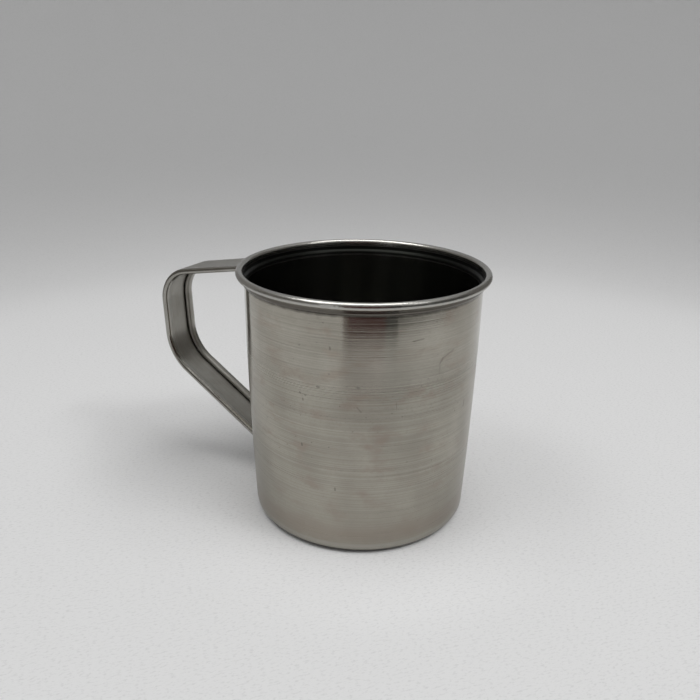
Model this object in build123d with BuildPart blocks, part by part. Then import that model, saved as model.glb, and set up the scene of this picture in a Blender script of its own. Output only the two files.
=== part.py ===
from build123d import *
import math
import os

# Stainless steel shaving mug, in millimetres.
#
# A deep-drawn cup whose rim is curled outwards into a round bead, and a strap
# handle with both long edges rolled inwards. The strap's two ends are formed
# to the wall and spot-welded to it. The origin is the centre of the resting
# face, +Z is up, and the handle points along -X. The mug is symmetric about
# its XZ plane.

# ---- Driving dimensions: cup ------------------------------------------------
cup_height = 82.2           # resting face to the top of the rim bead
cup_sheet = 0.6             # thickness of the drawn sheet
wall_radius = 37.5          # outer radius just below the shoulder
base_radius = 35.7          # outer radius where the wall's line meets the floor
bead_diameter = 2.25        # outer diameter of the curled rim
bead_wrap = 285.0           # degrees that the sheet is rolled round the bead
neck_radius = 38.35         # outer radius of the neck that carries the bead
shoulder_drop = 4.1         # top of the bead down to the foot of the shoulder
shoulder_rise = 0.6         # height of the step out from wall to neck
shoulder_bend = 0.45        # bend radius of the sheet's middle layer there
base_corner = 2.8           # outer radius between wall and resting face
foot_ring_width = 5.0       # flat ring that the cup stands on
panel_lift = 0.8            # how far the base panel stands off the floor
panel_step = 2.4            # radial run of the slope from ring to panel
panel_bend = 1.2            # bend radius of the middle layer at that slope

# ---- Driving dimensions: handle, to the middle layer of its strip -----------
strap_sheet = 0.6           # thickness of the strip
strap_width = 15.3          # over both rolled edges
roll_width = 3.3            # over one rolled edge, which is pressed to an oval
roll_height = 2.0           # and its height over both skins
roll_tuck = 95.0            # degrees that its cut edge turns back towards the strip
roll_clearance = 0.3        # gap between the rolls' cut ends and the cup's neck or wall
tab_relief = 0.25           # slit on each side of a tab, and the web left beside it
upper_reach = 40.05         # largest wall radius out to the upper corner
lower_reach = 38.9          # and out to the lower corner
upper_root_drop = 3.3       # top of the cup down to the upper arm at the wall
upper_corner_drop = 10.4    # top of the cup down to the upper corner
lower_corner_height = 39.85  # floor to the lower corner
lower_root_height = 13.3    # floor to the lower arm at the wall
upper_corner_bend = 12.7    # bend radius at the upper corner
lower_corner_bend = 17.5    # and at the lower corner
upper_tab_bend = 4.0        # bend radius that turns the upper arm down, clear of the neck
lower_tab_bend = 2.2        # and the lower arm
upper_tab_drop = 11.4       # the upper arm at the wall down to its tab's edge
lower_tab_drop = 9.4        # and the lower arm

# ---- Driving dimensions: welds ----------------------------------------------
weld_diameter = 2.6         # one spot-weld nugget
weld_pitch = 4.4            # distance between the two nuggets of a tab
weld_dimple = 0.12          # how far its face lies below the tab's skin

bend_steps = 6              # sections from flat arm to tab, which takes the wall's curve

# ---- Worked out from the dimensions above -----------------------------------
half_sheet = cup_sheet / 2
bead_radius = bead_diameter / 2
bead_height = cup_height - bead_radius
bead_center = neck_radius - cup_sheet + bead_radius
shoulder_height = cup_height - shoulder_drop
wall_top = shoulder_height - shoulder_bend
wall_draft = wall_radius - base_radius
wall_curve = (wall_top**2 + wall_draft**2) / (2 * wall_draft)
ring_inner_radius = base_radius - base_corner - foot_ring_width
panel_radius = ring_inner_radius - panel_step

half_strap = strap_sheet / 2
half_width = strap_width / 2
roll_bend = roll_height / 2 - half_strap  # bend radius of a roll's middle layer
roll_outer = half_width - roll_height / 2
roll_inner = roll_outer - (roll_width - roll_height)
notch_half = half_width - roll_width - tab_relief
tab_half = notch_half - tab_relief
roll_trim = 4 * roll_width  # height of the cut that ends the rolls at the wall
weld_depth = cup_sheet / 2  # a nugget reaches halfway into the cup's sheet
weld_reach = 4 * strap_sheet  # length of the cut that opens a tab for a nugget


def wall_skin(height: float, depth: float = 0) -> float:
    """Radius of the wall at a depth under its outer skin, an arc that leaves the shoulder upright."""
    rise = math.sqrt((wall_curve - depth) ** 2 - (wall_top - height) ** 2)
    return wall_radius - wall_curve + math.copysign(rise, wall_curve)


def tab_layer(height: float) -> tuple[float, float]:
    """Point on the middle layer of a tab that lies on the wall."""
    return (-wall_skin(height) - half_strap, height)


def past_root(root: tuple[float, float], corner: tuple[float, float]) -> tuple[float, float]:
    """Point on an arm's line, a roll's width beyond its root at the wall."""
    stretch = 1 + roll_width / math.dist(root, corner)
    return tuple(far + stretch * (near - far) for near, far in zip(root, corner))


# Middle layer of the strip, seen from the side: upper tab, arm, corner, grip,
# corner, arm, lower tab. The rolled edges follow the arms straight to the wall.
upper_root = tab_layer(cup_height - upper_root_drop)
lower_root = tab_layer(lower_root_height)
upper_corner = (-wall_radius - upper_reach, cup_height - upper_corner_drop)
lower_corner = (-wall_radius - lower_reach, lower_corner_height)
with BuildLine(Plane.XZ) as strip_path:
    FilletPolyline(
        tab_layer(upper_root[1] - upper_tab_drop),
        upper_root,
        upper_corner,
        lower_corner,
        lower_root,
        tab_layer(lower_root[1] - lower_tab_drop),
        radius=(upper_tab_bend, upper_corner_bend, lower_corner_bend, lower_tab_bend),
    )
with BuildLine(Plane.XZ) as roll_path:
    FilletPolyline(
        past_root(upper_root, upper_corner),
        upper_corner,
        lower_corner,
        past_root(lower_root, lower_corner),
        radius=(upper_corner_bend, lower_corner_bend),
    )
upper_tab, upper_bend, *grip_edges, lower_bend, lower_tab = strip_path.wire().order_edges()


def weld_seats(tab: Edge) -> list[Plane]:
    """Planes on the wall's skin behind a tab's two nuggets, facing outwards."""
    height = tab.center().Z
    turn = math.asin(weld_pitch / 2 / wall_skin(height))
    outward = [Vector(-math.cos(turn), side * math.sin(turn), 0) for side in (-1, 1)]
    return [Plane(wall_skin(height) * way + Vector(0, 0, height), z_dir=way) for way in outward]


def strap_plane(edge: Edge, share: float) -> Plane:
    """Plane square to the strap's path, with its local Y into the finger gap."""
    return Plane(edge @ share, x_dir=(0, 1, 0), z_dir=edge % share)


upper_seats = weld_seats(upper_tab)
lower_seats = weld_seats(lower_tab)

# ---- Cup: one drawn sheet, from the base panel out to the curled bead -------
with BuildPart() as cup_shell:
    with BuildSketch(Plane.XZ):
        with BuildLine() as middle_layer:
            wall_line = TangentArc(
                (wall_radius - half_sheet, wall_top),
                (wall_skin(half_sheet, half_sheet), half_sheet),
                tangent=(0, -1),
            )
            FilletPolyline(
                (0, panel_lift + half_sheet),
                (panel_radius, panel_lift + half_sheet),
                (ring_inner_radius, half_sheet),
                wall_line @ 1,
                radius=panel_bend,
            )
            FilletPolyline(
                wall_line @ 0,
                (wall_radius - half_sheet, shoulder_height),
                (neck_radius - half_sheet, shoulder_height + shoulder_rise),
                (neck_radius - half_sheet, bead_height),
                radius=shoulder_bend,
            )
            CenterArc((bead_center, bead_height), bead_radius - half_sheet, 180, -bead_wrap)
            base_edge = middle_layer.vertices().sort_by_distance(wall_line @ 1)[0]
            fillet(base_edge, base_corner - half_sheet)
        trace(line_width=cup_sheet)
    revolve(axis=Axis.Z)
    with Locations(*[seat.offset(-weld_depth) for seat in (*upper_seats, *lower_seats)]):
        Cylinder(
            weld_diameter / 2,
            weld_diameter,
            align=(Align.CENTER, Align.CENTER, Align.MIN),
            mode=Mode.SUBTRACT,
        )
cup_shell.part.label = "cup_shell"


def strip_band(edge: Edge, share: float, hollow: float, wall_way: int) -> Sketch:
    """Section of the strip across a bend, hollowed to that share of the wall.

    wall_way is the side of the section's plane, -1 or 1, that faces the wall.
    """
    skin = wall_skin((edge @ share).Z)
    faces = ((skin, wall_way * half_strap), (skin + strap_sheet, -wall_way * half_strap))
    with BuildSketch(strap_plane(edge, share)) as band:
        with BuildLine():
            sides = []
            for radius, middle in faces:
                sag = hollow * (radius - math.sqrt(radius**2 - tab_half**2))
                end = middle + wall_way * sag
                if sag:
                    sides.append(ThreePointArc((-tab_half, end), (0, middle), (tab_half, end)))
                else:
                    sides.append(Line((-tab_half, end), (tab_half, end)))
            Line(sides[0] @ 0, sides[1] @ 0)
            Line(sides[0] @ 1, sides[1] @ 1)
        make_face()
    return band.sketch


def formed_end(tab: Edge, bend: Edge, wall_way: int) -> Part:
    """End of the strip: a tab lying on the round wall, and the bend to its arm."""
    low, high = sorted(((tab @ 0).Z, (tab @ 1).Z))
    above = high + strap_sheet
    tab_share = 0 if wall_way < 0 else 1
    steps = [step / bend_steps for step in range(1, bend_steps + 1)]
    bands = [
        strip_band(bend, abs(tab_share - step), math.cos(step * math.pi / 2) ** 2, wall_way)
        for step in steps[:-1]
    ]
    bands.append(strip_band(bend, 1 - tab_share, 0, wall_way))
    cut = strap_plane(bend, tab_share)
    with BuildPart() as formed:
        with BuildSketch(Plane.XZ):
            with BuildLine():
                skin = RadiusArc((-wall_skin(low), low), (-wall_skin(above), above), wall_curve)
                offset(skin, amount=strap_sheet, side=Side.LEFT)
            make_face()
        revolve(axis=Axis.Z)
        with Locations((-wall_radius, 0, cup_height / 2)):
            Box(wall_radius, 2 * tab_half, cup_height, mode=Mode.INTERSECT)
        split(bisect_by=cut, keep=Keep.BOTTOM if cut.z_dir.Z > 0 else Keep.TOP)
        root = formed.faces().sort_by(Axis.Z)[-1]
        loft(sections=[root, *bands])
    return formed.part


# ---- Handle: one strip, both edges rolled inwards, both ends formed ---------
upper_end = formed_end(upper_tab, upper_bend, -1)
lower_end = formed_end(lower_tab, lower_bend, 1)

with BuildPart() as handle_strap:
    with BuildSketch(strap_plane(roll_path.wire(), 0)):
        with BuildLine():
            Line((-roll_outer, 0), (roll_outer, 0))
            for side in (-1, 1):
                CenterArc((side * roll_outer, roll_bend), roll_bend, -90, side * 180)
                Line((side * roll_outer, 2 * roll_bend), (side * roll_inner, 2 * roll_bend))
                CenterArc((side * roll_inner, roll_bend), roll_bend, 90, side * roll_tuck)
        trace(line_width=strap_sheet)
    sweep(path=roll_path.wire())
    for height, skin in ((upper_root[1], neck_radius), (lower_root[1], wall_skin(lower_root[1]))):
        with Locations((0, 0, height)):
            Cylinder(skin + roll_clearance, roll_trim, mode=Mode.SUBTRACT)
    for edge, share, way in ((grip_edges[0], 0, -1), (grip_edges[-1], 1, 1)):
        with BuildSketch(strap_plane(edge, share)):
            Rectangle(2 * notch_half, 2 * strap_sheet)
        extrude(amount=way * wall_radius, mode=Mode.SUBTRACT)
    add([upper_end, lower_end])
    with Locations(*upper_seats, *lower_seats):
        Cylinder(weld_diameter / 2, weld_reach, mode=Mode.SUBTRACT)
handle_strap.part.label = "handle_strap"


def weld_nuggets(seats: list[Plane]) -> BuildPart:
    """Two nuggets of fused metal, through the tab and into the cup's sheet."""
    with BuildPart() as nuggets:
        with Locations(*[seat.offset(-weld_depth) for seat in seats]):
            Cylinder(
                weld_diameter / 2,
                weld_depth + strap_sheet - weld_dimple,
                align=(Align.CENTER, Align.CENTER, Align.MIN),
            )
    return nuggets


# ---- Welds: two spot welds at each end of the handle ------------------------
upper_spot_welds = weld_nuggets(upper_seats)
upper_spot_welds.part.label = "upper_spot_welds"
lower_spot_welds = weld_nuggets(lower_seats)
lower_spot_welds.part.label = "lower_spot_welds"

# ---- One STEP file for each node --------------------------------------------
os.makedirs("parts", exist_ok=True)
for node in (cup_shell, handle_strap, upper_spot_welds, lower_spot_welds):
    export_step(node.part, f"parts/{node.part.label}.step")
    print(f"{node.part.label}: {len(node.part.solids())} solid(s), {node.part.volume:.0f} mm3")
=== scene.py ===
"""Looks of a stainless steel shaving mug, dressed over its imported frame.

The cup is a section of drawn sheet turned round its axis, and the handle is a
flat blank whose edges are rolled and which is bent along its path. Both are
formed by Geometry Nodes, and so are the spot welds. Lengths in the classes
are millimetres, and meshes are written in metres.
"""

import logging
import math
from collections.abc import Callable, Iterable, Sequence
from dataclasses import dataclass
from enum import Enum
from functools import cached_property
from typing import Any

import bmesh
import bpy
from mathutils import Matrix, Vector
from mathutils.bvhtree import BVHTree


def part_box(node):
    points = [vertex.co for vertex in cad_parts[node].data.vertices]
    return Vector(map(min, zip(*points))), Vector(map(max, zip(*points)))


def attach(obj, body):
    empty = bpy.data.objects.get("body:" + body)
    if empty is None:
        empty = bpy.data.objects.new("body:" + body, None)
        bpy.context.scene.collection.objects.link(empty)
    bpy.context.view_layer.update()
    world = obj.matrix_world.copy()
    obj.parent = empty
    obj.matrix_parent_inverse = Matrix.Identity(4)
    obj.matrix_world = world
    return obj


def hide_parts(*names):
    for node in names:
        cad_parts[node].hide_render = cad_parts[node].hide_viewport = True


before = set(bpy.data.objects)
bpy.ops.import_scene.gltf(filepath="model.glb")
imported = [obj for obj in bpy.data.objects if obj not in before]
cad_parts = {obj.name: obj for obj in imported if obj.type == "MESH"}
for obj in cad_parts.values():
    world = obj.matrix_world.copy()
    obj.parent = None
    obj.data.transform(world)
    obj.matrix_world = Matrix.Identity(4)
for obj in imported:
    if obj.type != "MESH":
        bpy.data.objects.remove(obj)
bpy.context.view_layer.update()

MM = 0.001
SAME = 1e-6
LOG = logging.getLogger("shaving_mug")

Point = tuple[float, float]
Color = tuple[float, float, float, float]


# ---- Node sockets as numbers ------------------------------------------------
class Value:
    """A node's output socket that Python's operators can calculate with."""

    def __init__(self, graph: "Graph", socket: bpy.types.NodeSocket) -> None:
        """Wrap an output socket of a graph."""
        self.graph = graph
        self.socket = socket

    def other(self, name: str | int) -> "Value":
        """Return another output of the same node."""
        return Value(self.graph, self.socket.node.outputs[name])

    def __add__(self, other: "Value | float") -> "Value":
        """Return self + other."""
        return self.graph.math("ADD", self, other)

    def __radd__(self, other: float) -> "Value":
        """Return other + self."""
        return self.graph.math("ADD", other, self)

    def __sub__(self, other: "Value | float") -> "Value":
        """Return self - other."""
        return self.graph.math("SUBTRACT", self, other)

    def __rsub__(self, other: float) -> "Value":
        """Return other - self."""
        return self.graph.math("SUBTRACT", other, self)

    def __mul__(self, other: "Value | float") -> "Value":
        """Return self * other."""
        return self.graph.math("MULTIPLY", self, other)

    def __rmul__(self, other: float) -> "Value":
        """Return other * self."""
        return self.graph.math("MULTIPLY", other, self)

    def __truediv__(self, other: "Value | float") -> "Value":
        """Return self / other."""
        return self.graph.math("DIVIDE", self, other)

    def __rtruediv__(self, other: float) -> "Value":
        """Return other / self."""
        return self.graph.math("DIVIDE", other, self)

    def __neg__(self) -> "Value":
        """Return -self."""
        return self.graph.math("MULTIPLY", self, -1.0)

    def __abs__(self) -> "Value":
        """Return the size of self without its sign."""
        return self.graph.math("ABSOLUTE", self)


class Graph:
    """A node tree, to which formulas and nodes are added."""

    def __init__(self, tree: bpy.types.NodeTree) -> None:
        """Start from a tree, and clear it."""
        self.tree = tree
        tree.nodes.clear()

    def node(
        self,
        kind: str,
        settings: dict[str, Any] | None = None,
        sockets: dict[str | int, Any] | None = None,
        output: str | int = 0,
    ) -> Value:
        """Add one node.

        Args:
            kind: The node's type.
            settings: Its properties, such as a Math node's operation, which are set first.
            sockets: Values or links of its input sockets, by name or number.
            output: The output socket to return.

        Returns:
            The chosen output, which is empty for a node that has none.
        """
        made = self.tree.nodes.new(kind)
        for name, setting in (settings or {}).items():
            setattr(made, name, setting)
        for name, value in (sockets or {}).items():
            if isinstance(value, Value):
                self.tree.links.new(value.socket, made.inputs[name])
            else:
                made.inputs[name].default_value = value
        return Value(self, made.outputs[output] if made.outputs else None)

    def math(self, operation: str, *values: "Value | float") -> Value:
        """Add a Math node for an operation on up to three values."""
        return self.node("ShaderNodeMath", {"operation": operation}, dict(enumerate(values)))

    def vector(self, operation: str, *values: Any) -> Value:
        """Add a Vector Math node.

        Args:
            operation: The node's operation.
            *values: Its vectors, or for SCALE a vector and a number.

        Returns:
            The result, which is a number for LENGTH and DOT_PRODUCT.
        """
        sockets = dict(enumerate(values))
        if operation == "SCALE":
            sockets = {0: values[0], "Scale": values[1]}
        output = "Value" if operation in ("LENGTH", "DOT_PRODUCT") else "Vector"
        return self.node("ShaderNodeVectorMath", {"operation": operation}, sockets, output)

    def combine(self, x: Any, y: Any, z: Any) -> Value:
        """Make a vector of three values."""
        return self.node("ShaderNodeCombineXYZ", None, {"X": x, "Y": y, "Z": z})

    def separate(self, vector: Value) -> tuple[Value, Value, Value]:
        """Return a vector's X, Y and Z."""
        parts = self.node("ShaderNodeSeparateXYZ", None, {0: vector}, "X")
        return parts, parts.other("Y"), parts.other("Z")

    def ease(self, value: Value, start: float, end: float) -> Value:
        """Return a smooth step from 0 at start to 1 at end, where start may be the greater."""
        sockets = {"Value": value, "From Min": start, "From Max": end}
        return self.node("ShaderNodeMapRange", {"interpolation_type": "SMOOTHSTEP"}, sockets)


# ---- Forming tools made of Geometry Nodes -----------------------------------
SEAM = 0.0005 * MM
WAVES_ROUND = 1.1
WAVES_UP = 18.0
HELD_FOOT = (2 * MM, 20 * MM)
HELD_HEAD = (76 * MM, 60 * MM)


class Form(Graph):
    """A Geometry Nodes tree with named inputs that forms a piece's mesh."""

    def __init__(self, name: str) -> None:
        """Start a tree that takes a geometry and a material, and gives a geometry.

        Args:
            name: The tree's name.
        """
        super().__init__(bpy.data.node_groups.new(name, "GeometryNodeTree"))
        self.tree.interface.new_socket("Geometry", in_out="OUTPUT", socket_type="NodeSocketGeometry")
        self.source = self.node("NodeGroupInput")
        self.blank = self.size("Geometry", "NodeSocketGeometry")
        self.material = self.size("Material", "NodeSocketMaterial")

    def size(self, name: str, kind: str = "NodeSocketFloat") -> Value:
        """Add a named input to the tree and return it."""
        self.tree.interface.new_socket(name, in_out="INPUT", socket_type=kind)
        return Value(self, self.source.socket.node.outputs[name])

    def attribute(self, name: str, kind: str = "FLOAT") -> Value:
        """Return a named attribute of the blank."""
        return self.node("GeometryNodeInputNamedAttribute", {"data_type": kind}, {"Name": name})

    def close(self, geometry: Value, merge: float = 0.0) -> None:
        """End the tree: join what touches, make it real, smooth it and give it its material.

        Args:
            geometry: What the tree has made.
            merge: Distance in metres under which vertices are joined, or 0.
        """
        if merge:
            sockets = {"Geometry": geometry, "Distance": merge}
            geometry = self.node("GeometryNodeMergeByDistance", None, sockets)
        real = self.node("GeometryNodeRealizeInstances", None, {"Geometry": geometry})
        smooth = self.node("GeometryNodeSetShadeSmooth", None, {"Geometry": real})
        sockets = {"Geometry": smooth, "Material": self.material}
        made = self.node("GeometryNodeSetMaterial", None, sockets)
        self.node("NodeGroupOutput", None, {"Geometry": made})

    def press(
        self,
        blank: bpy.types.Mesh,
        inputs: dict[str, Any],
        modifiers: Iterable[tuple[str, dict[str, Any]]] = (),
    ) -> bpy.types.Mesh:
        """Form a blank and return the result as a plain mesh.

        Args:
            blank: The mesh that goes into the tree.
            inputs: The tree's inputs by name.
            modifiers: More modifiers by type, with their settings.

        Returns:
            The formed mesh, with no modifier left on it.
        """
        holder = bpy.data.objects.new(f"{self.tree.name}_blank", blank)
        bpy.context.scene.collection.objects.link(holder)
        tool = holder.modifiers.new(self.tree.name, "NODES")
        tool.node_group = self.tree
        for item in self.tree.interface.items_tree:
            if item.in_out == "INPUT" and item.name in inputs:
                tool[item.identifier] = inputs[item.name]
        for kind, settings in modifiers:
            modifier = holder.modifiers.new(kind.title(), kind)
            for name, setting in settings.items():
                setattr(modifier, name, setting)
        bpy.context.view_layer.update()
        evaluated = holder.evaluated_get(bpy.context.evaluated_depsgraph_get())
        formed = bpy.data.meshes.new_from_object(evaluated)
        holder.modifiers.clear()
        bpy.data.objects.remove(holder)
        bpy.data.meshes.remove(blank)
        return formed


def turning_form() -> Form:
    """Build the tree that turns a section round the Z axis.

    The blank is a line of vertices whose X is a radius and whose Z is a height.
    Its waver fades out towards the heights at which the sheet was held.

    Returns:
        The tree, with inputs Segments, Waver and Material.
    """
    form = Form("turn_section")
    segments = form.size("Segments", "NodeSocketInt")
    waver = form.size("Waver")
    sockets = {"Geometry": form.blank}
    rows = form.node("GeometryNodeAttributeDomainSize", None, sockets, "Point Count")
    sockets = {"Vertices X": segments + 1.0, "Vertices Y": rows}
    grid = form.node("GeometryNodeMeshGrid", None, sockets, "Mesh")
    index = form.node("GeometryNodeInputIndex")
    column = form.math("FLOOR", (index + 0.5) / rows)
    here = form.node("GeometryNodeInputPosition")
    settings = {"data_type": "FLOAT_VECTOR"}
    sockets = {"Geometry": form.blank, "Value": here, "Index": index - column * rows}
    section = form.node("GeometryNodeSampleIndex", settings, sockets)
    radius, _, height = form.separate(section)
    angle = column / segments * math.tau
    cosine = form.math("COSINE", angle)
    sine = form.math("SINE", angle)
    reach = form.combine(cosine * WAVES_ROUND, sine * WAVES_ROUND, height * WAVES_UP)
    settings = {"noise_dimensions": "3D"}
    sockets = {"Vector": reach, "Scale": 1.0, "Detail": 1.0}
    noise = form.node("ShaderNodeTexNoise", settings, sockets, "Fac")
    free = form.ease(height, *HELD_FOOT) * form.ease(height, *HELD_HEAD)
    reached = radius + (noise - 0.5) * waver * free
    place = form.combine(reached * cosine, reached * sine, height)
    turned = form.node("GeometryNodeSetPosition", None, {"Geometry": grid, "Position": place})
    form.close(turned, merge=SEAM)
    return form


def strap_form() -> Form:
    """Build the tree that rolls a flat blank's edges and bends it along a path.

    The blank lies in its XY plane, with X the way along the strap and Y the way
    across it. Its attributes say where on the path each place belongs (along),
    how far it takes the wall's curve (hollow), how deep a weld has pressed it
    (dimple), how far it runs on towards the wall (overrun) and at what distance
    from the axis that ends (stop).

    Returns:
        The tree, with inputs Path, Flat, Roll, Ledge, Wall and Material.
    """
    form = Form("bend_strap")
    path = form.size("Path", "NodeSocketObject")
    flat = form.size("Flat")
    roll = form.size("Roll")
    ledge = form.size("Ledge")
    wall = form.size("Wall")
    across = form.separate(form.node("GeometryNodeInputPosition"))[1]
    past_flat = form.math("MAXIMUM", abs(across) - flat, 0.0)
    turn = form.math("MINIMUM", past_flat / roll, math.pi)
    past_turn = form.math("MAXIMUM", past_flat - roll * math.pi, 0.0)
    back = form.math("MINIMUM", past_turn, ledge)
    tuck = form.math("MAXIMUM", past_turn - ledge, 0.0) / roll
    level = form.math("MINIMUM", abs(across), flat) - back
    level = level + (form.math("SINE", turn) - form.math("SINE", tuck)) * roll
    aside = form.math("SIGN", across) * level
    lift = (form.math("COSINE", tuck) - form.math("COSINE", turn)) * roll
    line = form.node("GeometryNodeObjectInfo", None, {"Object": path}, "Geometry")
    curve = form.node("GeometryNodeMeshToCurve", None, {"Mesh": line})
    sockets = {"Curves": curve, "Length": form.attribute("along")}
    spot = form.node("GeometryNodeSampleCurve", {"mode": "LENGTH"}, sockets, "Position")
    way = spot.other("Tangent")
    way_x, _, way_z = form.separate(way)
    inward = form.combine(-way_z, 0.0, way_x)
    sag = wall - form.math("SQRT", wall * wall - aside * aside)
    rise = lift - sag * form.attribute("hollow") - form.attribute("dimple")
    place = form.vector("ADD", spot, form.vector("SCALE", inward, rise))
    place = form.vector("ADD", place, form.combine(0.0, aside, 0.0))
    overrun = form.attribute("overrun")
    stop = form.attribute("stop")
    edge = -form.math("SQRT", stop * stop - aside * aside)
    run = (edge - form.separate(place)[0]) / way_x * abs(overrun)
    place = form.vector("ADD", place, form.vector("SCALE", way, run))
    bent = form.node("GeometryNodeSetPosition", None, {"Geometry": form.blank, "Position": place})
    form.close(bent)
    return form


def seating_form() -> Form:
    """Build the tree that sets a copy of a small piece on every seat.

    The blank's vertices are the seats, with their outward ways in a facing
    attribute.

    Returns:
        The tree, with inputs Piece and Material.
    """
    form = Form("seat_copies")
    piece = form.size("Piece", "NodeSocketObject")
    copy = form.node("GeometryNodeObjectInfo", None, {"Object": piece}, "Geometry")
    sockets = {"Vector": form.attribute("facing", "FLOAT_VECTOR")}
    turn = form.node("FunctionNodeAlignRotationToVector", {"axis": "Z"}, sockets)
    points = form.node("GeometryNodeMeshToPoints", None, {"Mesh": form.blank})
    sockets = {"Points": points, "Instance": copy, "Rotation": turn}
    form.close(form.node("GeometryNodeInstanceOnPoints", None, sockets))
    return form


# ---- Outlines and pieces ----------------------------------------------------
TWIN = 0.0002 * MM
CREASE = math.radians(40.0)


def rounded(corners: Sequence[tuple[float, float, float]], step: float) -> list[Point]:
    """Round the corners of an open line.

    Args:
        corners: Each corner's two coordinates and its radius, or 0 to keep it.
        step: Degrees of turn between the points of a round.

    Returns:
        The points of the line with its rounds.
    """
    points = []
    for number, (x, y, radius) in enumerate(corners):
        here = Vector((x, y))
        if not radius or number in (0, len(corners) - 1):
            points.append((x, y))
            continue
        back = (Vector(corners[number - 1][:2]) - here).normalized()
        ahead = (Vector(corners[number + 1][:2]) - here).normalized()
        half = back.angle(ahead) / 2
        middle = here + (back + ahead).normalized() * radius / math.sin(half)
        start = here + back * radius / math.tan(half) - middle
        sweep = math.pi - 2 * half
        if back.x * ahead.y - back.y * ahead.x > 0:
            sweep = -sweep
        count = max(2, math.ceil(math.degrees(abs(sweep)) / step))
        for share in range(count + 1):
            points.append(tuple(middle + Matrix.Rotation(sweep * share / count, 2) @ start))
    return points


def arc(center: Point, radius: float, start: float, sweep: float, count: int) -> list[Point]:
    """Return points along an arc, with its angles in degrees."""
    angles = [math.radians(start + sweep * share / count) for share in range(count + 1)]
    return [(center[0] + radius * math.cos(a), center[1] + radius * math.sin(a)) for a in angles]


def spread(marks: Sequence[float], counts: Sequence[int]) -> list[float]:
    """Spread lengths evenly between marks.

    Args:
        marks: The lengths at which the stretches begin and end.
        counts: The number of steps in each stretch.

    Returns:
        The lengths, with the marks among them.
    """
    lengths = [marks[0]]
    for first, second, count in zip(marks, marks[1:], counts):
        lengths += [first + (second - first) * share / count for share in range(1, count + 1)]
    return lengths


def beside(points: Sequence[Point], distance: float) -> list[Point]:
    """Move a line's points to its left.

    Args:
        points: The line's points.
        distance: How far they move.

    Returns:
        The moved points.
    """
    moved = []
    for number, point in enumerate(points):
        before = Vector(points[max(number - 1, 0)])
        after = Vector(points[min(number + 1, len(points) - 1)])
        way = (after - before).normalized()
        moved.append((point[0] - way.y * distance, point[1] + way.x * distance))
    return moved


def line_mesh(name: str, points: Iterable[Sequence[float]]) -> bpy.types.Mesh:
    """Make a mesh of vertices that are joined in a line.

    Args:
        name: The mesh's name.
        points: The line's points in millimetres.

    Returns:
        The mesh.
    """
    mesh = bpy.data.meshes.new(name)
    places = [Vector(point) * MM for point in points]
    edges = [(number, number + 1) for number in range(len(places) - 1)]
    mesh.from_pydata(places, edges, [])
    return mesh


def add_piece(name: str, mesh: bpy.types.Mesh) -> bpy.types.Object:
    """Turn a mesh's faces outwards, mark its sharp edges and add it as a piece.

    Args:
        name: The piece's name.
        mesh: Its closed mesh.

    Returns:
        The object, at the origin.
    """
    shape = bmesh.new()
    shape.from_mesh(mesh)
    bmesh.ops.remove_doubles(shape, verts=shape.verts, dist=TWIN)
    bmesh.ops.recalc_face_normals(shape, faces=shape.faces)
    shape.to_mesh(mesh)
    shape.free()
    mesh.set_sharp_from_angle(angle=CREASE)
    piece = bpy.data.objects.new(name, mesh)
    bpy.context.scene.collection.objects.link(piece)
    return piece


def shade_folds(piece: bpy.types.Object, reach: float, rays: int = 16) -> None:
    """Store how deep each place of a piece lies in a fold of it, for painted shade in the folds.

    Args:
        piece: The finished piece.
        reach: Distance in millimetres up to which a facing surface counts.
        rays: Number of ways in which each place looks for a facing surface.
    """
    mesh = piece.data
    tree = BVHTree.FromPolygons(
        [vertex.co for vertex in mesh.vertices], [face.vertices for face in mesh.polygons]
    )
    ways = []
    lowest, span, clear = 0.15, 0.8, 0.03 * MM
    golden_turn = math.pi * (3 - math.sqrt(5))
    for number in range(rays):
        lift = lowest + span * (number + 0.5) / rays
        turn = number * golden_turn
        level = math.sqrt(1 - lift * lift)
        ways.append(Vector((level * math.cos(turn), level * math.sin(turn), lift)))
    grime = mesh.attributes.new("grime", "FLOAT", "POINT")
    for vertex, item in zip(mesh.vertices, grime.data):
        turned = vertex.normal.to_track_quat("Z", "Y")
        start = vertex.co + vertex.normal * clear
        for way in ways:
            distance = tree.ray_cast(start, turned @ way, reach * MM)[3]
            if distance is not None:
                item.value += (1 - distance / (reach * MM)) / rays


def report(piece: bpy.types.Object, node: str) -> None:
    """Attach a finished piece to the root body, hide the CAD node that it replaces, and log it.

    Args:
        piece: The piece.
        node: The CAD node that it replaces.
    """
    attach(piece, "root")
    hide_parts(node)
    triangles = sum(len(face.vertices) - 2 for face in piece.data.polygons)
    LOG.info("%s stands for %s, %d triangles", piece.name, node, triangles)


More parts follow.
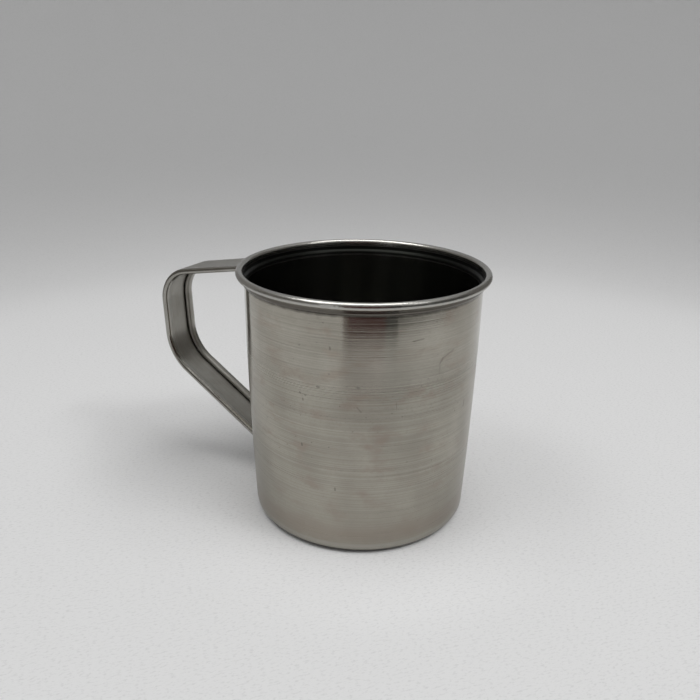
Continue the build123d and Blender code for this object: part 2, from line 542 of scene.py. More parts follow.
# ---- Finishes ---------------------------------------------------------------
class Surface(Graph):
    """The node tree of one material."""

    def __init__(self, name: str) -> None:
        """Start an empty material.

        Args:
            name: The material's name.
        """
        self.material = bpy.data.materials.new(name)
        self.material.use_nodes = True
        super().__init__(self.material.node_tree)

    def place(self) -> tuple[Value, Value, Value]:
        """Return the place on the object in millimetres."""
        coordinates = self.node("ShaderNodeTexCoord", output="Object")
        return self.separate(self.vector("SCALE", coordinates, 1 / MM))

    def noise(self, x: Any, y: Any, z: Any, detail: float = 2.0, rough: float = 0.5) -> Value:
        """Return smooth noise between about 0.2 and 0.8 at a place.

        Args:
            x: The place's X, in steps of the noise.
            y: Its Y.
            z: Its Z.
            detail: How many finer layers are added.
            rough: How strong these are.

        Returns:
            The noise.
        """
        place = self.combine(x, y, z)
        sockets = {"Vector": place, "Scale": 1.0, "Detail": detail, "Roughness": rough}
        return self.node("ShaderNodeTexNoise", {"noise_dimensions": "3D"}, sockets, "Fac")

    def blend(self, share: Value | float, first: Any, second: Any) -> Value:
        """Mix two colours by the second one's share."""
        sockets = {0: share, 6: first, 7: second}
        return self.node("ShaderNodeMix", {"data_type": "RGBA"}, sockets, 2)

    def bump(self, height: Value, distance: float = MM, strength: float = 1.0) -> Value:
        """Return the normal of a surface with this height."""
        sockets = {"Height": height, "Distance": distance, "Strength": strength}
        return self.node("ShaderNodeBump", None, sockets)

    def finish(self, sockets: dict[str, Any]) -> bpy.types.Material:
        """Close the tree with a Principled shader.

        Args:
            sockets: Values or links of the shader's sockets.

        Returns:
            The material.
        """
        shader = self.node("ShaderNodeBsdfPrincipled", None, sockets)
        self.node("ShaderNodeOutputMaterial", None, {"Surface": shader})
        return self.material


@dataclass(frozen=True)
class Nick:
    """A nick or scratch in the wall, from one end to the other.

    Each end is given by its degrees round the wall from the worn side's middle
    and by its height.
    """

    start: Point
    end: Point
    width: float = 0.3
    depth: float = 0.8


NICKS = (
    Nick((-13.6, 68.5), (-13.5, 68.0), 0.42, 0.9),
    Nick((-28.0, 53.3), (-27.7, 53.2), 0.5, 0.9),
    Nick((-25.4, 52.9), (-25.1, 52.8), 0.45, 0.8),
    Nick((-26.5, 51.6), (-26.4, 51.1), 0.4, 0.9),
    Nick((-27.6, 36.7), (-27.5, 36.1), 0.45, 1.0),
    Nick((-11.3, 23.6), (-11.2, 22.8), 0.4, 1.0),
    Nick((-19.5, 56.2), (-18.6, 56.1), 0.5, 0.8),
    Nick((-1.5, 57.2), (-1.0, 57.0), 0.6, 0.7),
    Nick((-1.6, 50.9), (0.2, 49.5), 0.35, 0.55),
    Nick((15.6, 52.0), (15.8, 50.2), 0.3, 0.45),
    Nick((44.5, 65.0), (38.0, 63.4), 0.5, 0.4),
    Nick((38.0, 63.4), (36.5, 62.0), 0.5, 0.6),
    Nick((36.5, 62.0), (36.6, 58.5), 0.4, 0.3),
    Nick((22.0, 70.3), (27.0, 70.6), 0.35, 0.45),
    Nick((58.0, 46.0), (57.5, 44.0), 0.45, 0.9),
)


@dataclass(frozen=True)
class SheetPlace:
    """A place on the cup's sheet, as sockets that hold millimetres.

    Around and level run along the surface: round and up the wall, and across
    the base. Ring is the height on the wall and the radius on the base. Outside
    is 1 on the outer side and the underside, and 0 on the inner side.
    """

    x: Value
    y: Value
    z: Value
    radius: Value
    around: Value
    level: Value
    ring: Value
    outside: Value


@dataclass(frozen=True)
class WallSteel:
    """Drawn stainless sheet: brushed round outside, smooth inside, dull under the polished rim, with
    painted shade under the rim and low on the wall.

    A pair of heights or radii says where a change begins and where it is complete.
    """

    tone: Color = (0.47, 0.448, 0.39, 1.0)
    dark_tone: Color = (0.32, 0.301, 0.258, 1.0)
    stain: Color = (0.34, 0.286, 0.24, 1.0)
    low_band_tone: Color = (0.3, 0.255, 0.215, 1.0)
    lining: Color = (0.4, 0.4, 0.37, 1.0)
    dark_lining: Color = (0.28, 0.28, 0.26, 1.0)
    # Painted shade: near black inside under the lip.
    painted_lip_shade: Color = (0.018, 0.019, 0.017, 1.0)
    rim: Color = (0.45, 0.442, 0.415, 1.0)
    # Dark tone of nicks and pits, and of painted shade under the bead and along the foot.
    shade_and_mark_tone: Color = (0.13, 0.12, 0.105, 1.0)
    worn_side: float = math.radians(-64.2)
    base_turn: Point = (3.5, 1.5)
    # Heights over which painted shade darkens the low wall.
    low_wall_shade: Point = (36.0, 6.0)
    polished: Point = (52.0, 73.0)
    pitted_height: float = 51.0
    foot_edge: Point = (32.0, 34.5)
    low_band_height: float = 10.0
    # Height of a painted highlight line near the foot.
    glint_height: float = 2.6
    # Heights of painted contact shade along the bottom of the foot.
    contact_shade: Point = (1.7, 0.9)
    lip_shade: float = 1.3
    skin_rough: float = 0.29
    polished_rough: float = 0.12
    lining_rough: float = 0.15
    lip_rough: float = 0.42
    rim_rough: float = 0.22
    bump_height: float = 0.01
    anisotropy: float = 0.78
    brushing_turn: float = 0.25

    def material(self, cup: "Cup") -> bpy.types.Material:
        """Make the material for a cup.

        Args:
            cup: The cup whose shape the finish follows.

        Returns:
            The material.
        """
        steel = Surface("cup_steel_finish")
        at = self.locate(steel, cup)
        on_bead = steel.ease(at.z, cup.bead_foot - 0.1, cup.bead_foot + 0.3)
        # Where shade is painted inside under the lip, which is rougher there too.
        under_lip = steel.ease(at.z, cup.wall_top - self.lip_shade, cup.wall_top)
        # The brushing's fine lines and broad bands run round the axis.
        lines = steel.noise(at.x * 0.007, at.y * 0.007, at.ring * 2.8, 4.0, 0.7) - 0.5
        broad = steel.noise(at.x * 0.012, at.y * 0.012, at.ring * 0.7, 2.0, 0.6) - 0.5
        streak = lines * 1.4 + broad * 0.25
        marks = self.wear(steel, at, cup.wall_radius)
        skin = self.skin_tone(steel, cup, at, streak, marks)
        tone = steel.blend(at.outside, self.lining_tone(steel, at, under_lip), skin)
        # The rim's polish begins a little lower on the inside.
        rim_foot = cup.bead_foot - (1 - at.outside) * 0.15
        tone = steel.blend(steel.ease(at.z - rim_foot, 0.0, 0.8), tone, self.rim)
        # The brushing is worn smoother towards the top.
        polish = steel.ease(at.z, *self.polished) * (self.skin_rough - self.polished_rough)
        outer_rough = self.skin_rough - polish + streak * 0.08
        inner_rough = self.lining_rough + under_lip * (self.lip_rough - self.lining_rough)
        rough = inner_rough + (outer_rough - inner_rough) * at.outside
        rough = rough + (self.rim_rough - rough) * on_bead
        # The brushing's lines and marks stand in the surface, and curling has dented the bead.
        hammer = steel.noise(at.x * 0.9, at.y * 0.9, at.z * 0.9) - 0.5
        brushed = (lines + broad - marks * 2.0) * at.outside * (1 - on_bead)
        height = (brushed + hammer * on_bead * 5.0) * self.bump_height
        return steel.finish(
            {
                "Base Color": tone,
                "Metallic": 1.0,
                "Roughness": rough,
                "Normal": steel.bump(height),
                "Anisotropic": self.anisotropy,
                "Anisotropic Rotation": self.brushing_turn,
            }
        )

    def locate(self, steel: Surface, cup: "Cup") -> SheetPlace:
        """Work out where a place lies on the sheet.

        Args:
            steel: The surface that takes the nodes.
            cup: The cup.

        Returns:
            The place.
        """
        x, y, z = steel.place()
        ahead, aside = math.cos(self.worn_side), math.sin(self.worn_side)
        bearing = steel.math("ARCTAN2", y * ahead - x * aside, x * ahead + y * aside)
        radius = steel.math("SQRT", x * x + y * y)
        on_base = steel.ease(z, *self.base_turn)
        on_wall = 1 - on_base
        around = bearing * cup.wall_radius * on_wall + x * on_base
        level = z * on_wall + y * on_base
        ring = z * on_wall + radius * on_base
        return SheetPlace(x, y, z, radius, around, level, ring, self.outside(steel, cup, radius, z))

    @staticmethod
    def outside(steel: Surface, cup: "Cup", radius: Value, z: Value) -> Value:
        """Tell the sheet's outer side from its inner side.

        Args:
            steel: The surface that takes the nodes.
            cup: The cup.
            radius: The place's distance from the axis.
            z: Its height.

        Returns:
            1 on the outer side and the underside, and 0 on the inner side.
        """
        drop = cup.wall_top - z
        wall = cup.wall_radius - cup.sheet / 2 - drop * drop / (2 * cup.wall_curve)
        shoulder_top = cup.shoulder_height + cup.shoulder_rise
        rise = steel.ease(z, cup.shoulder_height, shoulder_top)
        layer = wall + rise * (cup.neck_radius - cup.wall_radius)
        bend = cup.base_corner - cup.sheet / 2
        panel = steel.ease(radius, cup.ring_inner, cup.ring_inner - cup.panel_step)
        out = steel.math("MAXIMUM", radius - layer + bend, 0.0)
        down = steel.math("MAXIMUM", panel * cup.panel_lift + cup.base_corner - z, 0.0)
        return steel.ease(steel.math("SQRT", out * out + down * down) - bend, -0.1, 0.1)

    def skin_tone(
        self, steel: Surface, cup: "Cup", at: SheetPlace, streak: Value, marks: Value
    ) -> Value:
        """Colour the outer side.

        Args:
            steel: The surface that takes the nodes.
            cup: The cup.
            at: The place.
            streak: How light its brushing is.
            marks: How marked it is.

        Returns:
            The colour.
        """
        # Brushing over soft clouds, then brownish blots, fine mottle and marks.
        cloud = steel.noise(at.around * 0.07, at.level * 0.045, 0.0)
        tone = steel.blend(steel.ease(streak + cloud, 0.1, 0.9), self.dark_tone, self.tone)
        blot = steel.noise(at.around * 0.09, at.level * 0.16, 7.0, 3.0, 0.6)
        tone = steel.blend(steel.ease(blot, 0.5, 0.72) * 0.7, tone, self.stain)
        mottle = steel.noise(at.around * 0.9, at.level * 1.1, 13.0, 3.0, 0.65)
        tone = steel.blend(steel.ease(mottle, 0.48, 0.75) * 0.4, tone, self.dark_tone)
        tone = steel.blend(marks * 0.75, tone, self.shade_and_mark_tone)
        # Painted shade: the wall grows darker towards the bottom.
        tone = steel.blend(steel.ease(at.z, *self.low_wall_shade) * 0.55, tone, self.dark_tone)
        # A darker brownish band low on the wall, then a painted highlight line and painted contact
        # shade at the foot.
        tone = self.foot_tone(steel, at, blot, tone)
        # Painted shade under the bead, with an uneven edge.
        waver = (steel.noise(at.around * 0.5, at.z * 0.3, 3.0, 3.0) - 0.5) * 0.9
        painted_bead_shade = steel.ease(at.z + waver, cup.shoulder_height - 1.1, cup.shoulder_height)
        painted_bead_shade = painted_bead_shade * steel.ease(at.z, cup.bead_foot + 0.3, cup.bead_foot - 0.6)
        return steel.blend(painted_bead_shade, tone, self.shade_and_mark_tone)

    def foot_tone(self, steel: Surface, at: SheetPlace, blot: Value, tone: Value) -> Value:
        """Darken a brownish band low on the wall, and paint a highlight line and a line of contact
        shade at the foot.

        Args:
            steel: The surface that takes the nodes.
            at: The place.
            blot: What makes the band's edge uneven.
            tone: The colour without the band.

        Returns:
            The colour.
        """
        at_edge = steel.ease(at.radius, *self.foot_edge)
        low_band = steel.ease(abs(at.z + blot * 6.0 - self.low_band_height), 5.5, 0.0) * at_edge
        tone = steel.blend(low_band * 0.5, tone, self.low_band_tone)
        # A painted highlight line near the foot, in the rim's tone.
        glint = steel.ease(abs(at.z - self.glint_height), 1.6, 0.4) * at_edge
        tone = steel.blend(glint * 0.3, tone, self.rim)
        # Painted contact shade along the bottom of the foot.
        return steel.blend(steel.ease(at.z, *self.contact_shade) * at_edge, tone, self.shade_and_mark_tone)

    def lining_tone(self, steel: Surface, at: SheetPlace, under_lip: Value) -> Value:
        """Colour the inner side.

        Args:
            steel: The surface that takes the nodes.
            at: The place.
            under_lip: How near it is to the lip's fold, where shade is painted.

        Returns:
            The colour.
        """
        grey = steel.noise(at.x * 0.3, at.y * 0.3, at.z * 0.01, 3.0)
        lining = steel.blend(steel.ease(grey, 0.3, 0.75), self.dark_lining, self.lining)
        # Shade is painted under the lip's fold.
        return steel.blend(under_lip, lining, self.painted_lip_shade)

    def wear(self, steel: Surface, at: SheetPlace, wall_radius: float) -> Value:
        """Mark the sheet with nicks, pits, specks and scores.

        Args:
            steel: The surface that takes the nodes.
            at: The place.
            wall_radius: The wall's radius.

        Returns:
            How marked the place is, up to 1.
        """
        place = steel.combine(at.around, at.level, 0.0)
        # Pits are the middles of a few cells, with more of them in a band of the wall.
        cells = steel.node("ShaderNodeTexVoronoi", None, {"Vector": place, "Scale": 0.55}, "Distance")
        chance = steel.separate(cells.other("Color"))[0]
        band = steel.ease(abs(at.level - self.pitted_height), 11.0, 4.0)
        pits = steel.ease(cells, 0.16, 0.05) * steel.ease(chance + band * 0.3, 0.86, 0.9)
        specks = steel.noise(at.around * 1.5, at.level * 3.0, 5.0, 3.0, 0.6)
        specks = steel.ease(specks, 0.6, 0.72) * (0.15 + band * 0.5)
        score = steel.noise(at.around * 0.02, at.level * 1.4, 9.0, 2.0, 0.7)
        score = steel.ease(score, 0.62, 0.7) * 0.22
        light = steel.math("MAXIMUM", specks, score)
        deep = steel.math("MAXIMUM", self.nicked(steel, place, wall_radius), pits * 0.8)
        return steel.math("MAXIMUM", deep, light)

    @staticmethod
    def nicked(steel: Surface, place: Value, wall_radius: float) -> Value:
        """Cut the nicks.

        Args:
            steel: The surface that takes the nodes.
            place: How far round and up the wall the place lies.
            wall_radius: The wall's radius.

        Returns:
            How deep a nick is there, up to 1.
        """
        marks: Value | float = 0.0
        for nick in NICKS:
            start = Vector((math.radians(nick.start[0]) * wall_radius, nick.start[1], 0.0))
            way = Vector((math.radians(nick.end[0]) * wall_radius, nick.end[1], 0.0)) - start
            reach = steel.vector("SUBTRACT", place, start)
            share = steel.vector("DOT_PRODUCT", reach, way) / way.length_squared
            share = steel.math("MINIMUM", steel.math("MAXIMUM", share, 0.0), 1.0)
            aside = steel.vector("SUBTRACT", reach, steel.vector("SCALE", way, share))
            mark = steel.ease(steel.vector("LENGTH", aside), nick.width, 0.0) * nick.depth
            marks = steel.math("MAXIMUM", marks, mark)
        return marks


@dataclass(frozen=True)
class StrapSteel:
    """Rolled strip steel with a worn polish, and painted shade in its folds."""

    name: str = "handle_steel_finish"
    tone: Color = (0.39, 0.38, 0.352, 1.0)
    dark_tone: Color = (0.28, 0.268, 0.238, 1.0)
    # Dark tone of the painted shade in the folds.
    shade_and_mark_tone: Color = (0.11, 0.1, 0.085, 1.0)
    roughness: float = 0.36
    rolled_edge: Point = (5.6, 6.8)

    def material(self) -> bpy.types.Material:
        """Make the material.

        Returns:
            The material.
        """
        steel = Surface(self.name)
        x, y, z = steel.place()
        grain = steel.noise(x * 0.08, y * 3.0, z * 0.08, 4.0, 0.65)
        cloud = steel.noise(x * 0.12, y * 0.12, z * 0.12, 3.0)
        tone = steel.blend(steel.ease(grain * 0.7 + cloud, 0.45, 1.25), self.dark_tone, self.tone)
        # Painted shade in the folds, darker the deeper a place lies in them.
        grime = steel.node("ShaderNodeAttribute", {"attribute_name": "grime"}, output="Fac")
        fold_depth = steel.ease(grime + (cloud - 0.5) * 0.3, 0.3, 0.75)
        tone = steel.blend(fold_depth * 0.9, tone, self.shade_and_mark_tone)
        edge = steel.ease(abs(y), *self.rolled_edge)
        rough = self.roughness - edge * 0.22 + (grain - 0.5) * 0.14 + fold_depth * 0.2
        bump = steel.bump((grain - 0.5) * 0.003)
        sockets = {"Base Color": tone, "Metallic": 1.0, "Roughness": rough, "Normal": bump}
        return steel.finish(sockets)


@dataclass(frozen=True)
class StagePaper:
    """Matt pale paper of the floor and backdrop, with a painted pool of light near the mug and painted
    shade far away.
    """

    # Painted light: paler paper round the mug's foot.
    pool_tone: Color = (0.8, 0.8, 0.8, 1.0)
    floor_tone: Color = (0.71, 0.71, 0.71, 1.0)
    # Painted shade: darker paper far out and up the backdrop.
    far_shade_tone: Color = (0.42, 0.42, 0.42, 1.0)
    fleck_tone: Color = (0.3, 0.3, 0.3, 1.0)
    near: Point = (78.0, 40.0)
    far: Point = (250.0, 520.0)

    def material(self) -> bpy.types.Material:
        """Make the material, which is see-through from behind.

        Returns:
            The material.
        """
        paper = Surface("stage_paper")
        x, y, z = paper.place()
        grain = paper.noise(x * 0.9, y * 0.9, z * 0.9, 4.0, 0.7)
        bump = paper.bump(grain, 0.1 * MM, 0.45)
        radius = paper.math("SQRT", x * x + y * y)
        # Painted shade, growing with distance from the mug.
        tone = paper.blend(paper.ease(radius, *self.far), self.floor_tone, self.far_shade_tone)
        # A painted pool of light on the floor round the mug's foot.
        tone = paper.blend(paper.ease(radius, *self.near), tone, self.pool_tone)
        fleck = paper.noise((x + y) * 0.5, (x - y) * 1.2, z, 2.0, 0.7)
        tone = paper.blend(paper.ease(fleck, 0.5, 0.7) * 0.2, tone, self.fleck_tone)
        sockets = {"Base Color": tone, "Roughness": 0.9, "Normal": bump}
        front = paper.node("ShaderNodeBsdfPrincipled", None, sockets)
        clear = paper.node("ShaderNodeBsdfTransparent")
        behind = paper.node("ShaderNodeNewGeometry", output="Backfacing")
        mixed = paper.node("ShaderNodeMixShader", None, {0: behind, 1: front, 2: clear})
        paper.node("ShaderNodeOutputMaterial", None, {"Surface": mixed})
        return paper.material


# ---- Cup --------------------------------------------------------------------
@dataclass
class Cup:
    """The drawn cup: base panel, wall, shoulder and curled rim in one sheet."""

    height: float
    rim_radius: float
    sheet: float = 0.6
    wall_inset: float = 2.5
    wall_draft: float = 1.8
    bead_diameter: float = 2.25
    bead_wrap: float = 285.0
    shoulder_drop: float = 4.1
    shoulder_rise: float = 0.6
    shoulder_bend: float = 0.45
    base_corner: float = 2.8
    foot_ring_width: float = 5.0
    panel_lift: float = 0.8
    panel_step: float = 2.4
    panel_bend: float = 1.2
    waver: float = 0.12
    segments: int = 320
    wall_rows: int = 24
    curl_rows: int = 40
    corner_step: float = 6.0

    @property
    def wall_radius(self) -> float:
        """Outer radius just below the shoulder."""
        return self.rim_radius - self.wall_inset

    @property
    def neck_radius(self) -> float:
        """Outer radius of the neck that carries the bead."""
        return self.rim_radius - self.bead_diameter + self.sheet

    @property
    def bead_foot(self) -> float:
        """Height of the underside of the curled bead."""
        return self.height - self.bead_diameter

    @property
    def shoulder_height(self) -> float:
        """Height of the foot of the shoulder."""
        return self.height - self.shoulder_drop

    @property
    def wall_top(self) -> float:
        """Height at which the wall stands upright."""
        return self.shoulder_height - self.shoulder_bend

    @property
    def wall_curve(self) -> float:
        """Radius of the arc that the wall follows from top to floor."""
        return (self.wall_top**2 + self.wall_draft**2) / (2 * self.wall_draft)

    @property
    def ring_inner(self) -> float:
        """Radius at which the foot ring ends and the base panel begins to rise."""
        return self.wall_skin(0) - self.base_corner - self.foot_ring_width

    def wall_skin(self, height: float) -> float:
        """Return the wall's outer radius at a height."""
        drop = self.wall_top - height
        return self.wall_radius - self.wall_curve + math.sqrt(self.wall_curve**2 - drop**2)

    def middle_layer(self) -> list[Point]:
        """Draw the sheet's middle layer, from the axis out to the curled edge.

        Returns:
            Its points, each a radius and a height.
        """
        half = self.sheet / 2
        bead = self.bead_diameter / 2
        bead_center = (self.rim_radius - bead, self.height - bead)
        neck = self.neck_radius - half
        panel = self.ring_inner - self.panel_step
        heights = [self.wall_top * row / self.wall_rows for row in range(2, self.wall_rows + 1)]
        corners = [
            (0.0, self.panel_lift + half, 0.0),
            (panel / 2, self.panel_lift + half, 0.0),
            (panel, self.panel_lift + half, self.panel_bend),
            (self.ring_inner, half, self.panel_bend),
            (self.wall_skin(half) - half, half, self.base_corner - half),
            *[(self.wall_skin(height) - half, height, 0.0) for height in heights],
            (self.wall_radius - half, self.shoulder_height, self.shoulder_bend),
            (neck, self.shoulder_height + self.shoulder_rise, self.shoulder_bend),
            (neck, bead_center[1], 0.0),
        ]
        curl = arc(bead_center, bead - half, 180, -self.bead_wrap, self.curl_rows)
        return rounded(corners, self.corner_step)[:-1] + curl

    def build(self) -> bpy.types.Mesh:
        """Turn the sheet's section round the axis.

        Returns:
            The cup's mesh.
        """
        layer = self.middle_layer()
        skin = beside(layer, -self.sheet / 2)
        lining = beside(layer, self.sheet / 2)
        outline = [(radius, 0.0, height) for radius, height in skin + lining[::-1]]
        inputs = {
            "Segments": self.segments,
            "Waver": self.waver * MM,
            "Material": WallSteel().material(self),
        }
        return turning_form().press(line_mesh("cup_section", outline), inputs)

    def dress(self) -> bpy.types.Object:
        """Build the cup and add it as a piece."""
        return add_piece("drawn_cup", self.build())


# ---- Handle -----------------------------------------------------------------
TAB_COLUMNS = (16,)
EDGE_COLUMNS = (8, 18, 4, 9)
SPAN_ROWS = (14, 44, 10, 44, 26)
UPPER_TAB_ROWS = (40, 14)
LOWER_TAB_ROWS = (14, 46)
STUB_ROWS = (8,)


class FlatBlank:
    """A flat mesh of patches that share their vertices where they meet."""

    def __init__(self, names: Sequence[str], fate: Callable[[float, float], Sequence[float]]) -> None:
        """Start without a patch.

        Args:
            names: The names of the attributes that each vertex carries.
            fate: What gives them for a length along the blank and a place across it.
        """
        self.shape = bmesh.new()
        self.layers = [self.shape.verts.layers.float.new(name) for name in names]
        self.fate = fate
        self.made: dict[Point, bmesh.types.BMVert] = {}

    def vertex(self, length: float, place: float) -> bmesh.types.BMVert:
        """Make a vertex, or find it when it is there already.

        Args:
            length: Its distance along the blank.
            place: Its distance from the middle line.

        Returns:
            The vertex.
        """
        key = (round(length, 5), round(place, 5))
        if key not in self.made:
            self.made[key] = self.shape.verts.new((length * MM, place * MM, 0.0))
            for layer, value in zip(self.layers, self.fate(length, place)):
                self.made[key][layer] = value
        return self.made[key]

    def patch(self, lengths: Sequence[float], places: Sequence[float]) -> None:
        """Add a patch of faces.

        Args:
            lengths: Where its rows lie along the blank.
            places: Where its columns lie across the blank.
        """
        for first, second in zip(lengths, lengths[1:]):
            for left, right in zip(places, places[1:]):
                corners = ((first, left), (second, left), (second, right), (first, right))
                self.shape.faces.new([self.vertex(*corner) for corner in corners])

    def finish(self, name: str) -> bpy.types.Mesh:
        """End the work on the blank.

        Args:
            name: The mesh's name.

        Returns:
            The mesh.
        """
        mesh = bpy.data.meshes.new(name)
        self.shape.to_mesh(mesh)
        self.shape.free()
        return mesh


@dataclass
class Handle:
    """The strap: one strip with rolled edges, and a tab on the wall at each end."""

    cup: Cup
    sheet: float = 0.6
    width: float = 15.3
    roll_width: float = 3.3
    roll_height: float = 2.0
    roll_tuck: float = 95.0
    roll_clearance: float = 0.3
    tab_relief: float = 0.25
    upper_reach: float = 40.05
    lower_reach: float = 38.9
    upper_root_drop: float = 3.3
    upper_corner_drop: float = 10.4
    lower_corner_height: float = 39.85
    lower_root_height: float = 13.3
    upper_corner_bend: float = 12.7
    lower_corner_bend: float = 17.5
    upper_tab_bend: float = 4.0
    lower_tab_bend: float = 2.2
    upper_tab_drop: float = 11.4
    lower_tab_drop: float = 9.4
    weld_diameter: float = 2.6
    weld_pitch: float = 4.4
    weld_dimple: float = 0.14
    weld_margin: float = 0.3
    weld_slope: float = 0.5
    bend_step: float = 2.0
    fold_reach: float = 3.0

    @property
    def roll_bend(self) -> float:
        """Bend radius of a rolled edge's middle layer."""
        return (self.roll_height - self.sheet) / 2

    @property
    def roll_ledge(self) -> float:
        """Length of the flat top of a rolled edge."""
        return self.roll_width - self.roll_height

    @property
    def flat_half(self) -> float:
        """Half the width between the starts of the two rolls."""
        return (self.width - self.roll_height) / 2

    @property
    def notch_half(self) -> float:
        """Half the width between the outer sides of the two slits."""
        return self.width / 2 - self.roll_width - self.tab_relief

    @property
    def tab_half(self) -> float:
        """Half the width of a tab."""
        return self.notch_half - self.tab_relief

    @property
    def stub(self) -> float:
        """Length by which the blank's rolled edges run on past their span, before they are cut."""
        return 2 * self.roll_width

    def tab_layer(self, height: float) -> Point:
        """Return a point of a tab's middle layer, which lies on the wall."""
        return (-self.cup.wall_skin(height) - self.sheet / 2, height)

    def path_corners(self) -> list[tuple[float, float, float]]:
        """Draw the strap's side view.

        Returns:
            Its corners, each with its bend radius.
        """
        top, wall = self.cup.height, -self.cup.wall_radius
        upper_root = self.tab_layer(top - self.upper_root_drop)
        lower_root = self.tab_layer(self.lower_root_height)
        upper_corner = (wall - self.upper_reach, top - self.upper_corner_drop)
        lower_corner = (wall - self.lower_reach, self.lower_corner_height)
        return [
            (*self.tab_layer(upper_root[1] - self.upper_tab_drop), 0.0),
            (*upper_root, self.upper_tab_bend),
            (*upper_corner, self.upper_corner_bend),
            (*lower_corner, self.lower_corner_bend),
            (*lower_root, self.lower_tab_bend),
            (*self.tab_layer(lower_root[1] - self.lower_tab_drop), 0.0),
        ]

    @cached_property
    def landmarks(self) -> list[float]:
        """Find the lengths along the path at which its straights and bends begin and end.

        Returns:
            The lengths, from the upper tab's end to the lower tab's end.
        """
        corners = [Vector(corner[:2]) for corner in self.path_corners()]
        radii = [corner[2] for corner in self.path_corners()]
        marks = [0.0]
        spent = 0.0
        for number in range(1, len(corners) - 1):
            back = corners[number - 1] - corners[number]
            ahead = corners[number + 1] - corners[number]
            half = back.angle(ahead) / 2
            cut = radii[number] / math.tan(half)
            marks.append(marks[-1] + back.length - spent - cut)
            marks.append(marks[-1] + radii[number] * (math.pi - 2 * half))
            spent = cut
        marks.append(marks[-1] + (corners[-1] - corners[-2]).length - spent)
        return marks

    @property
    def rolled_span(self) -> Point:
        """Lengths between which the strap's edges are rolled, without the stubs past them."""
        return self.landmarks[2], self.landmarks[-3]

    def columns(self) -> list[float]:
        """Place the blank's columns of vertices: tab, flat, turn, ledge and tuck on each side.

        Returns:
            Their distances from the middle line.
        """
        turn_end = self.flat_half + math.pi * self.roll_bend
        ledge_end = turn_end + self.roll_ledge
        tuck_end = ledge_end + math.radians(self.roll_tuck) * self.roll_bend
        marks = (self.notch_half, self.flat_half, turn_end, ledge_end, tuck_end)
        half = spread((0.0, self.tab_half), TAB_COLUMNS) + spread(marks, EDGE_COLUMNS)
        return [-place for place in reversed(half[1:])] + half

    def blank(self) -> bpy.types.Mesh:
        """Cut the flat blank, whose slits part the tabs from the rolled edges' stubs.

        Returns:
            The blank, with the attributes that its tree reads.
        """
        start, finish = self.rolled_span
        columns = self.columns()
        tab_columns = [place for place in columns if abs(place) <= self.tab_half + SAME]
        blank = FlatBlank(("along", "hollow", "dimple", "overrun", "stop"), self.fate)
        blank.patch(spread(self.landmarks[2:-2], SPAN_ROWS), columns)
        blank.patch(spread(self.landmarks[:3], UPPER_TAB_ROWS), tab_columns)
        blank.patch(spread(self.landmarks[-3:], LOWER_TAB_ROWS), tab_columns)
        for side in (-1, 1):
            edge_columns = [place for place in columns if side * place >= self.notch_half - SAME]
            blank.patch(spread((start - self.stub, start), STUB_ROWS), edge_columns)
            blank.patch(spread((finish, finish + self.stub), STUB_ROWS), edge_columns)
        return blank.finish("strap_blank")

    def fate(self, length: float, place: float) -> tuple[float, ...]:
        """Tell what a place of the blank is to become.

        Args:
            length: Its distance along the blank.
            place: Its distance from the middle line.

        Returns:
            Its along, hollow, dimple, overrun and stop attributes, in metres or as shares.
        """
        start, finish = self.rolled_span
        on_tab = abs(place) <= self.tab_half + SAME
        along = length if on_tab else min(max(length, start), finish)
        past = max(start - length, length - finish, 0.0) / self.stub
        upper = length < (start + finish) / 2
        skin = self.cup.neck_radius if upper else self.cup.wall_skin(self.lower_root_height)
        return (
            along * MM,
            self.hollow_share(length),
            self.dimple_depth(length, place) * MM,
            0.0 if on_tab else past,
            (skin + self.roll_clearance) * MM,
        )

    def hollow_share(self, length: float) -> float:
        """Tell how far the strip takes the wall's curve.

        Args:
            length: The place's distance along the blank.

        Returns:
            1 on the tabs and 0 between the bends beside them.
        """
        marks = self.landmarks
        upper = (length - marks[1]) / (marks[2] - marks[1])
        lower = (marks[-2] - length) / (marks[-2] - marks[-3])
        share = min(max(min(upper, lower), 0.0), 1.0)
        return math.cos(share * math.pi / 2) ** 2

    def dimple_depth(self, length: float, place: float) -> float:
        """Tell how deep a weld has pressed the tab.

        Args:
            length: The place's distance along the blank.
            place: Its distance from the middle line.

        Returns:
            The depth.
        """
        marks = self.landmarks
        depth = 0.0
        for middle in ((marks[0] + marks[1]) / 2, (marks[-2] + marks[-1]) / 2):
            away = math.hypot(length - middle, abs(place) - self.weld_pitch / 2)
            inside = self.weld_diameter / 2 + self.weld_margin - away
            share = min(max(inside / self.weld_slope, 0.0), 1.0)
            depth += self.weld_dimple * share * share * (3 - 2 * share)
        return depth

    def build(self) -> bpy.types.Mesh:
        """Roll and bend the blank, and give it the sheet's thickness.

        Returns:
            The strap's mesh.
        """
        points = [(x, 0.0, z) for x, z in rounded(self.path_corners(), self.bend_step)]
        path = bpy.data.objects.new("strap_path", line_mesh("strap_path", points))
        bpy.context.scene.collection.objects.link(path)
        inputs = {
            "Path": path,
            "Flat": self.flat_half * MM,
            "Roll": self.roll_bend * MM,
            "Ledge": self.roll_ledge * MM,
            "Wall": self.cup.wall_radius * MM,
            "Material": StrapSteel().material(),
        }
        thicken = {"thickness": self.sheet * MM, "offset": 0.0, "use_even_offset": True}
        mesh = strap_form().press(self.blank(), inputs, [("SOLIDIFY", thicken)])
        bpy.data.objects.remove(path)
        return mesh

    def dress(self) -> bpy.types.Object:
        """Build the handle and add it as a piece.

        Returns:
            The piece, with how deep each place lies in its folds stored for painted shade.
        """
        piece = add_piece("rolled_strap", self.build())
        # Measure how deep each place lies in a fold, for painted shade.
        shade_folds(piece, self.fold_reach)
        return piece


# ---- Spot welds -------------------------------------------------------------
class TabEnd(Enum):
    """The two ends of the handle, by the CAD node of their welds."""

    UPPER = "upper_spot_welds"
    LOWER = "lower_spot_welds"


